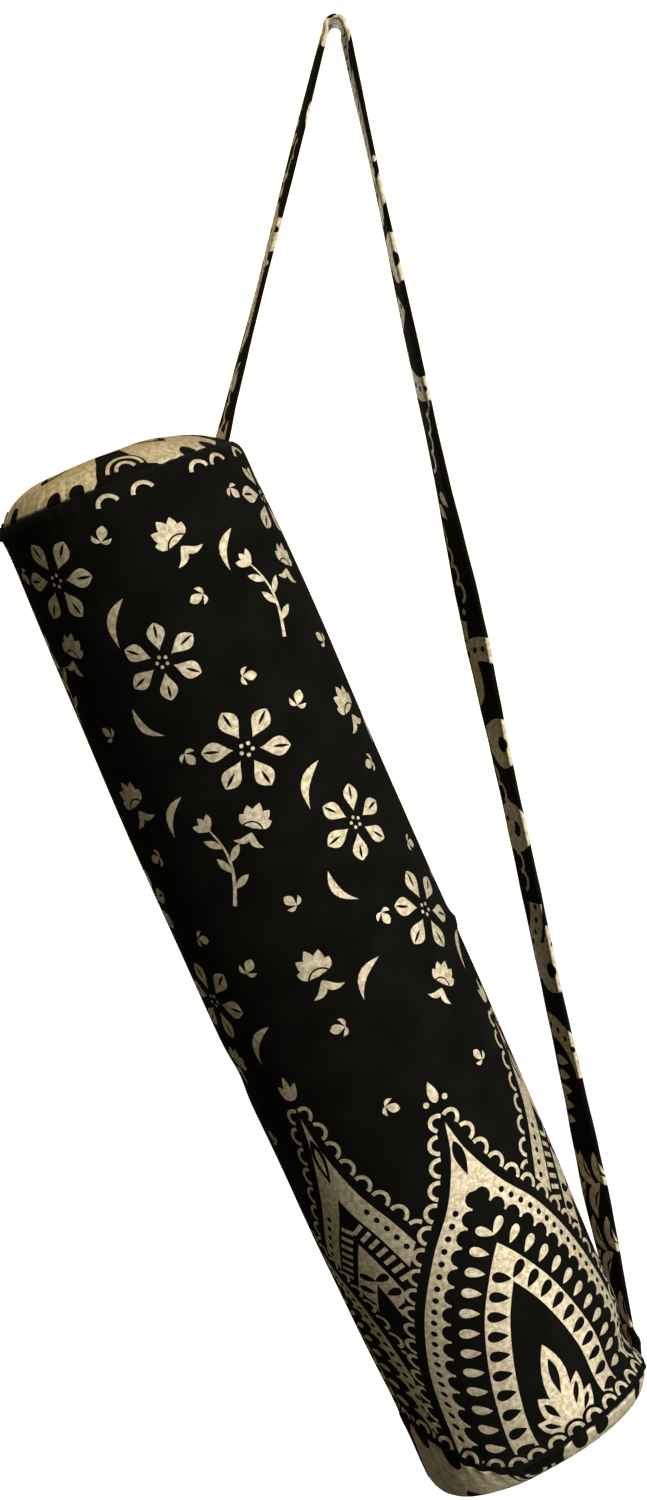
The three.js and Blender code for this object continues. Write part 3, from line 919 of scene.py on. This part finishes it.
def strap_route():
    """The strap's stations from the top seam to the bottom seam: places, directions over its
    width, bows and run, the length so far."""
    bend = PEG_RADIUS + FOLD
    middle = np.array([0, 0, -PEG_RADIUS])
    a = math.radians(STRAP_ANGLE)
    seam_turn = -math.sin(a) * RIGHT + math.cos(a) * BACK
    seam_bow = STRAP_WIDTH**2 / (8 * RADIUS)
    foot = over_top_seam(0, STRAP_ANGLE, SEAM_GAP)
    lower = [
        tube_point(TUBE_LENGTH - STRAP_LIES * share, STRAP_ANGLE, SEAM_GAP + FOLD + lift, dented)
        for share, lift, dented in (
            (1, STRAP_BRIDGE - 0.6, False), (0.5, -0.2, False), (0.12, -0.9, True),
            (0, -3.4, True), (0, -7.9, True),
        )
    ]

    def touch(point, side):
        x, _, z = point - middle
        return math.atan2(z, x) + side * math.acos(bend / math.hypot(x, z))

    def on_bend(turn):
        return middle + bend * np.array([math.cos(turn), 0, math.sin(turn)])

    def twisted(table, share, seam_share):
        turn = math.radians(float(between(table, 1, np.array(share))))
        plain = np.array([-math.sin(turn), math.cos(turn), 0])
        rest = 1 - float(smoothstep(share, 0, seam_share))
        return unit(plain + (seam_turn - plain) * rest)

    left, right = touch(foot, -1), touch(lower[0], 1)
    start, end = left % TAU, right % TAU
    sweep = start - (end - TAU if end > start else end)
    up = unit(on_bend(left) - foot)
    stations = [(foot - STRAP_TUCK * up, seam_turn, -seam_bow)]
    for share in np.linspace(0, 1, 60, endpoint=False):
        bow = -seam_bow * (1 - float(smoothstep(share, 0, 0.1)))
        place = foot + (on_bend(left) - foot) * share
        stations.append((place, twisted(TOP_LEG_TWIST, share, 0.1), bow))
    for i in range(25):
        stations.append((on_bend(start - sweep * i / 24), np.array([0, 1.0, 0]), 0))
    for share in np.linspace(1, 0, 161)[1:]:
        place = lower[0] + (on_bend(right) - lower[0]) * share
        stations.append((place, twisted(BOTTOM_LEG_TWIST, share, 0.05), 0))
    for place in lower[1:]:
        stations.append((place, seam_turn, seam_bow * 0.5))
    places, overs, bows = (np.array(column) for column in zip(*stations))
    steps = np.linalg.norm(np.diff(places, axis=0), axis=1)
    run = np.concatenate([[0], np.cumsum(steps)]) - STRAP_TUCK
    return places, overs, bows, run


ROUTE = strap_route()
STRAP_LENGTH = ROUTE[3][-1]


def along_route(y):
    """The strap's middle at a length from its top seam, with its width and thickness ways."""
    places, overs, bows, run = ROUTE

    def at(length, table):
        return np.stack([np.interp(length, run, table[:, i]) for i in range(3)], -1)

    middle = at(y, places)
    heading = unit(at(y + 2.5, places) - at(y - 2.5, places))
    over = at(y, overs)
    over = unit(over - heading * np.sum(over * heading, -1)[..., None])
    return middle, over, np.cross(heading, over), np.interp(y, run, bows)


def strap_section(x):
    """Across and out, round the folded strap."""
    x = x % STRAP_GIRTH
    half = STRAP_FLAT / 2
    turn_one = np.clip((x - STRAP_FLAT) / FOLD, 0, math.pi)
    turn_two = np.clip((x - 2 * STRAP_FLAT - EDGE_RUN) / FOLD, 0, math.pi)
    front = x < STRAP_FLAT + EDGE_RUN
    across_front = -half + np.minimum(x, STRAP_FLAT) + FOLD * np.sin(turn_one)
    back_run = np.clip(x - STRAP_FLAT - EDGE_RUN, 0, STRAP_FLAT)
    across_back = half - back_run - FOLD * np.sin(turn_two)
    across = np.where(front, across_front, across_back)
    out = np.where(front, FOLD * np.cos(turn_one), -FOLD * np.cos(turn_two))
    return across, out


def strap_relief(across, out, y):
    """The thickness with its stitched grooves and small puckers."""
    groove = np.exp(-(((np.abs(across) - STITCH_LINE) / 0.9) ** 2))
    ripple = np.sin(y / 1.35 + 2 * np.sin(y / 37) + 0.5 * across)
    puff = 0.12 * (1 - (across / STITCH_LINE) ** 2) + 0.06 * ripple * np.abs(across) / 10
    return out * (1 - 0.3 * groove) + np.sign(out) * puff * (np.abs(across) < STITCH_LINE)


def strap_skin(x, y):
    middle, over, thick, bow = along_route(y)
    across, out = strap_section(x)
    out = strap_relief(across, out, y)
    edge = across / (STRAP_WIDTH / 2)
    across = across + edge * (0.22 * np.sin(y / 6.1) + 0.25 * np.sin(y / 23 + edge))
    out = out + bow * (1 - edge * edge) + 0.35 * np.sin(y / 29 + 1.5 * edge)
    return middle + over * across[..., None] + thick * out[..., None]


# Small parts

def mesh_piece(name, verts, faces, material, smooth=True):
    mesh = bpy.data.meshes.new(name)
    mesh.from_pydata((np.asarray(verts) * MM).tolist(), [], faces)
    mesh.polygons.foreach_set("use_smooth", [smooth] * len(mesh.polygons))
    mesh.materials.append(material)
    mesh.update()
    return linked(name, mesh)


def ring_faces(count, size):
    """The faces of a closed body through rings of equal size."""
    faces = []
    for a in range(0, (count - 1) * size, size):
        for j in range(size):
            k = (j + 1) % size
            faces.append((a + j, a + size + j, a + size + k, a + k))
    last = (count - 1) * size
    return faces + [tuple(range(size)), tuple(last + j for j in reversed(range(size)))]


def loft(rings):
    """Vertices and faces of a closed body through rings of equal size."""
    rings = np.asarray(rings)
    return rings.reshape(-1, 3), ring_faces(*rings.shape[:2])


def capsules(centres, along, up, long, thick, flat=1.0, sides=6):
    """Many small round-ended threads: vertices and faces."""
    side = np.cross(up, along)
    # share of the length, share of the thickness
    profile = ((-1, 0.25), (-0.86, 0.8), (-0.5, 1), (0.5, 1), (0.86, 0.8), (1, 0.25))
    turns = TAU * np.arange(sides) / sides
    rings = []
    for place, wide in profile:
        arch = 0.25 * thick * (1 - place * place)
        for turn in turns:
            rings.append(
                centres + along * (place * long / 2) + side * (wide * thick / 2 * math.cos(turn))
                + up * (wide * thick / 2 * flat * math.sin(turn) + arch)
            )
    verts = np.stack(rings, 1)
    faces = [face[:1] + face[:0:-1] for face in ring_faces(len(profile), sides)]
    every = len(profile) * sides
    all_faces = [tuple(n * every + v for v in face) for n in range(len(centres)) for face in faces]
    return verts.reshape(-1, 3), all_faces


def pillow(place, half_sizes, power=0.45, count=10):
    """A soft-edged block: place turns three offsets in millimetres into points."""
    def shape(value):
        return np.sign(value) * np.abs(value) ** power

    lats = np.linspace(-math.pi / 2, math.pi / 2, count)
    lons = np.linspace(0, TAU, 2 * count, endpoint=False)
    lat, lon = np.meshgrid(lats, lons, indexing="ij")
    a = half_sizes[0] * shape(np.cos(lat)) * shape(np.cos(lon))
    b = half_sizes[1] * shape(np.cos(lat)) * shape(np.sin(lon))
    c = half_sizes[2] * shape(np.sin(lat))
    return loft(place(a, b, c))


def joined(parts):
    verts, faces, start = [], [], 0
    for points, polygons in parts:
        verts.append(points)
        faces += [tuple(start + v for v in polygon) for polygon in polygons]
        start += len(points)
    return np.concatenate(verts), faces


def seam_threads(across, angle, lift, ahead, *sizes):
    """Threads on the top seam. ahead: the small steps, across and in angle, that they follow."""
    centre = over_top_seam(across, angle, lift)
    up = over_top_seam(across, angle, lift + 1) - centre
    along = unit(over_top_seam(across + ahead[0], angle + ahead[1], lift) - centre)
    return capsules(centre, along, up, *sizes)


def zip_pieces(tape_cloth, coil_plastic, metal, thread):
    angles = np.linspace(ZIP_START, ZIP_END, 150)
    half = ZIP_WIDTH / 2
    # across, lift: the tape's outside from its middle to its right edge
    right = [(0, 0.5), (1.9, 0.9), (3.2, ZIP_TAPE), (4.6, ZIP_TAPE), (half - 0.4, ZIP_TAPE)]
    right += [(half, 0.5), (half, 0)]
    outline = [(-across, lift) for across, lift in right[:0:-1]] + right
    outline += [(across, 0) for across in (4, 2, 0, -2, -4)]
    across, lift = np.array(outline).T
    ripple = 0.12 * np.sin(np.radians(angles) * 45)[:, None]
    rings = over_top_seam(across[None], angles[:, None], ZIP_LIFT + lift[None] + ripple)
    tape = mesh_piece("zip_tape_cloth", *loft(rings), tape_cloth)

    run = RADIUS * math.radians(ZIP_END - ZIP_START)
    place = np.linspace(ZIP_START + 1, ZIP_END - 1, int(run / 1.45))
    coil = mesh_piece("zip_coil", *joined([
        seam_threads(0.75 * side, place + 0.55 * side, ZIP_LIFT + 1.35, (0.5, 0),
                     2.6, 0.95, 1.25, 8)
        for side in (-1, 1)
    ]), coil_plastic)

    place = np.linspace(ZIP_START + 1, ZIP_END - 1, int(run / 2.7))
    stitches = mesh_piece("zip_stitches", *joined([
        seam_threads(line, place, ZIP_LIFT + ZIP_TAPE, (0, 0.5), 2.0, 0.42)
        for line in (-5.3, 5.3, -3.5, 3.5)
    ]), thread)

    def at(origin_across, origin_lift):
        def place_at(a, b, c):
            angle = SLIDER_ANGLE + np.degrees(b / RADIUS)
            return over_top_seam(origin_across + a, angle, ZIP_LIFT + origin_lift + c)
        return place_at

    parts = [
        pillow(at(0, 1.5), (3.4, 4.4, 0.6)),
        pillow(at(0, 3.1), (3.0, 3.8, 0.6)),
        pillow(at(0, 2.3), (0.8, 2.6, 1.1)),
        pillow(at(-1.2, 3.8), (2.6, 1.2, 0.5), 0.7),
        pillow(at(-5.5, 2.6), (2.6, 1.5, 0.6), 0.6),
        pillow(at(-13.5, 1.2), (7.0, 2.4, 0.7), 0.5, 12),
    ]
    slider = mesh_piece("zip_pull", *joined(parts), metal)
    return tape, coil, stitches, slider


def strap_stitches(thread):
    """Two rows of topstitching down each face of the strap."""
    y = np.arange(3, STRAP_LENGTH - 8, 3.1)
    half = STRAP_FLAT / 2
    parts = []
    back = STRAP_FLAT + EDGE_RUN
    for x in (half - STITCH_LINE, half + STITCH_LINE,
              back + half - STITCH_LINE, back + half + STITCH_LINE):
        x = np.full_like(y, x)
        centre = strap_skin(x, y)
        ahead = unit(strap_skin(x, y + 0.5) - strap_skin(x, y - 0.5))
        sideways = strap_skin(x + 0.3, y) - strap_skin(x - 0.3, y)
        up = unit(np.cross(ahead, sideways))
        middle = along_route(y)[0]
        up *= np.sign(np.sum(up * (centre - middle), -1))[..., None]
        parts.append(capsules(centre, ahead, up, 2.3, 0.5))
    return mesh_piece("strap_stitches", *joined(parts), thread)


# Materials

YARN_PITCH = 0.66


class Material:
    """A material and short ways to add nodes to it. A number or colour given for a socket is
    set on it, and a socket is linked to it."""

    def __init__(self, name):
        self.made = bpy.data.materials.new(name)
        self.made.use_nodes = True
        self.tree = self.made.node_tree
        self.shader = self.tree.nodes["Principled BSDF"]

    def feed(self, node, **values):
        for name, value in values.items():
            socket = node.inputs[int(name[1:]) if name[0] == "_" else name.replace("_", " ")]
            if isinstance(value, bpy.types.NodeSocket):
                self.tree.links.new(value, socket)
            else:
                socket.default_value = value

    def add(self, kind, result=0, settings=(), **values):
        node = self.tree.nodes.new("ShaderNode" + kind)
        for name, value in settings:
            setattr(node, name, value)
        self.feed(node, **values)
        return node.outputs[result]

    def math(self, operation, a, b=0.0):
        return self.add("Math", 0, (("operation", operation),), _0=a, _1=b)

    def mix(self, share, a, b):
        node = self.tree.nodes.new("ShaderNodeMix")
        node.data_type = "RGBA"
        self.feed(node, _0=share, _6=a, _7=b)
        return node.outputs[2]

    def noise(self, place, scale, detail=2.0, rough=0.5):
        return self.add("TexNoise", 0, (), Vector=place, Scale=scale, Detail=detail,
                        Roughness=rough)

    def step(self, value, low, high, to_low=0.0, to_high=1.0):
        return self.add("MapRange", 0, (("interpolation_type", "SMOOTHSTEP"),), Value=value,
                        From_Min=low, From_Max=high, To_Min=to_low, To_Max=to_high)

    def flat_cut(self):
        """The cloth's own flat place, in units of 100 mm."""
        node = self.tree.nodes.new("ShaderNodeUVMap")
        node.uv_map = "flat_cut"
        return node.outputs[0]

    def weave(self, place, pitch):
        """Plain weave: high where a yarn crosses over, with uneven yarns. pitch in mm."""
        split = self.tree.nodes.new("ShaderNodeSeparateXYZ")
        self.feed(split, _0=place)
        waves = [
            self.math("SINE", self.math("MULTIPLY", split.outputs[i], math.pi * 100 / pitch))
            for i in (0, 1)
        ]
        cross = self.math("ABSOLUTE", self.math("MULTIPLY", *waves))
        warp = self.add("Mapping", 0, (), Vector=place, Scale=(1, 0.06, 1))
        weft = self.add("Mapping", 0, (), Vector=place, Scale=(0.06, 1, 1))
        slubs = self.math("ADD", self.noise(warp, 130), self.noise(weft, 130))
        return self.math("ADD", cross, self.math("MULTIPLY", slubs, 0.8))

    def bump(self, height, strength, distance):
        return self.add("Bump", 0, (), Height=height, Strength=strength, Distance=distance)


def black_canvas():
    m = Material("black_canvas")
    place = m.flat_cut()
    cloth = m.weave(place, YARN_PITCH)
    fade = m.step(m.noise(place, 3.5, 3.0), 0.35, 0.7)
    colour = m.mix(fade, (0.0028, 0.0027, 0.0018, 1), (0.0048, 0.0046, 0.0032, 1))
    m.feed(m.shader, Base_Color=colour, Roughness=0.9, Specular_IOR_Level=0.05,
           Sheen_Weight=0.018, Sheen_Roughness=0.35, Sheen_Tint=(0.95, 0.95, 1.0, 1),
           Normal=m.bump(cloth, 0.6, 0.0003))
    return m.made


def gold_print():
    m = Material("gold_print")
    place = m.flat_cut()
    cloth = m.weave(place, YARN_PITCH)
    grain = m.noise(place, 95, 3.0, 0.7)
    worn = m.step(m.math("ADD", grain, m.math("MULTIPLY", m.noise(place, 9, 2.0), 0.35)),
                  0.6, 0.47, 0.0, 1.0)
    tone = m.step(m.noise(place, 30, 3.0, 0.65), 0.34, 0.66)
    gold = m.mix(tone, (0.42, 0.335, 0.195, 1), (0.72, 0.63, 0.44, 1))
    colour = m.mix(m.math("MULTIPLY", worn, 0.65), gold, (0.10, 0.075, 0.04, 1))
    m.feed(m.shader, Base_Color=colour, Metallic=0.35, Roughness=0.48, Specular_IOR_Level=0.4,
           Normal=m.bump(cloth, 0.5, 0.00025))
    return m.made


def plain(name, colour, roughness, metallic=0.0, grain=0.0):
    m = Material(name)
    m.feed(m.shader, Base_Color=(*colour, 1), Roughness=roughness, Metallic=metallic)
    if grain:
        place = m.add("TexCoord", 3)
        noise = m.noise(place, 900, 2.0)
        m.feed(m.shader, Normal=m.bump(noise, grain, 0.0002),
               Base_Color=m.mix(m.step(noise, 0.3, 0.7), (*colour, 1),
                                tuple(1.6 * c for c in colour) + (1,)))
    return m.made


# Putting it together

def rows_of(left, right, rows):
    """Points in rows, every second row moved on by half a step. rows: place down, step."""
    points = []
    for i, (y, step) in enumerate(rows):
        count = max(2, int(round((right - left) / step)))
        step = (right - left) / count
        points.append(left + step * (0.5 + 0.5 * (i % 2) + np.arange(count)) - step / 4 + 1j * y)
    return np.concatenate(points)


# The longest step on the outlines in a cut, and the steps round a disc's rim and down the strap
CUT_STEP = 3.0
RIM_STEPS, STRAP_STEPS = 220, 380


def strip(width, low, high):
    return np.array([1j * low, width + 1j * low, width + 1j * high, 1j * high])


def bag_cloth(materials):
    low, high = -TUCK, TUBE_LENGTH + TUCK
    rows = [(y, 2.2) for y in np.arange(low + 0.8, SEAM_BAND, 1.7)]
    rows += [(y, 4.4) for y in np.arange(SEAM_BAND + 1, TUBE_LENGTH - SEAM_BAND, 3.9)]
    rows += [(y, 2.2) for y in np.arange(TUBE_LENGTH - SEAM_BAND + 1, high - 0.5, 1.7)]
    cloth = Cloth(strip(GIRTH, low, high), rows_of(0, GIRTH, rows), CUT_STEP)
    for y in (0, 1.5, 4, TUBE_LENGTH - 4, TUBE_LENGTH - 1.5, TUBE_LENGTH):
        cloth.line(np.linspace(0, GIRTH, 236) + 1j * y)
    for x in (1.2, 2.6, GIRTH - 2.6, GIRTH - 1.2):
        cloth.line(x + 1j * np.linspace(low, high, 200))
    tube_print(cloth)
    return cloth_object("bag_cloth", cloth, tube_skin, materials)


def cap_cloth(name, end, turn_way, phase, spin, materials):
    rings = [circle(0, r, max(6, int(TAU * r / 3.4))) for r in np.arange(3, RADIUS - 12, 3.1)]
    rings += [circle(0, r, RIM_STEPS) for r in np.arange(RADIUS - 11, RADIUS + 2, 1.6)]
    cloth = Cloth(circle(0, RADIUS + TUCK, RIM_STEPS), np.concatenate([[0], *rings]), CUT_STEP)
    cap_print(cloth, spin)
    return cloth_object(name, cloth, cap_skin(end, turn_way, phase), materials)


def strap_cloth(materials):
    low, high = -STRAP_TUCK, STRAP_LENGTH
    half = STRAP_FLAT / 2
    columns = []
    for start in (0, STRAP_FLAT + EDGE_RUN):
        columns += [start + half + side * (STITCH_LINE + off)
                    for side in (-1, 1) for off in (-1.3, 0, 1.0)]
        columns += [start + half + share * half for share in (-0.6, -0.3, 0, 0.3, 0.6)]
        columns += [start + STRAP_FLAT + EDGE_RUN * share for share in (0, 0.25, 0.5, 0.75, 1)]
    columns = [x for x in columns if 0.1 < x < STRAP_GIRTH - 0.1]
    y = np.arange(low + 1.5, high, 3.0)
    filler = np.concatenate([x + 1j * y for x in columns])
    cloth = Cloth(strip(STRAP_GIRTH, low, high), filler, CUT_STEP)
    for x in columns:
        cloth.line(x + 1j * np.linspace(low, high, STRAP_STEPS))
    strap_print(cloth, STRAP_GIRTH, STRAP_LENGTH)
    return cloth_object("strap_cloth", cloth, strap_skin, materials)


def belongs(piece, slot, *nodes):
    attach(piece, "root")
    if nodes:
        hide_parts(*nodes)


def main():
    make_camera()
    make_light()
    make_floor()
    canvas = (black_canvas(), gold_print())
    thread = plain("black_thread", (0.012, 0.012, 0.01), 0.6)
    tape = plain("zip_tape_weave", (0.012, 0.012, 0.011), 0.8, 0.0, 0.4)
    coil = plain("zip_coil_plastic", (0.014, 0.014, 0.013), 0.35)
    metal = plain("antique_metal", (0.62, 0.6, 0.56), 0.42, 0.6)
    belongs(bag_cloth(canvas), "printed_canvas", "bag_tube")
    belongs(cap_cloth("top_cap_cloth", TOP_END, -1, 0, -178, canvas), "cap_canvas", "top_cap")
    bottom_cloth = cap_cloth("bottom_cap_cloth", BOTTOM_END, 1, 1.1, 0, canvas)
    belongs(bottom_cloth, "cap_canvas", "bottom_cap")
    belongs(strap_cloth(canvas), "strap_canvas", "shoulder_strap")
    belongs(strap_stitches(thread), "strap_canvas")
    zip_tape, zip_coil, zip_stitches, zip_pull = zip_pieces(tape, coil, metal, thread)
    belongs(zip_tape, "zip_tape", "zip_tape")
    belongs(zip_coil, "zip_tape")
    belongs(zip_stitches, "zip_tape")
    belongs(zip_pull, "zip_metal", "zip_slider")


main()
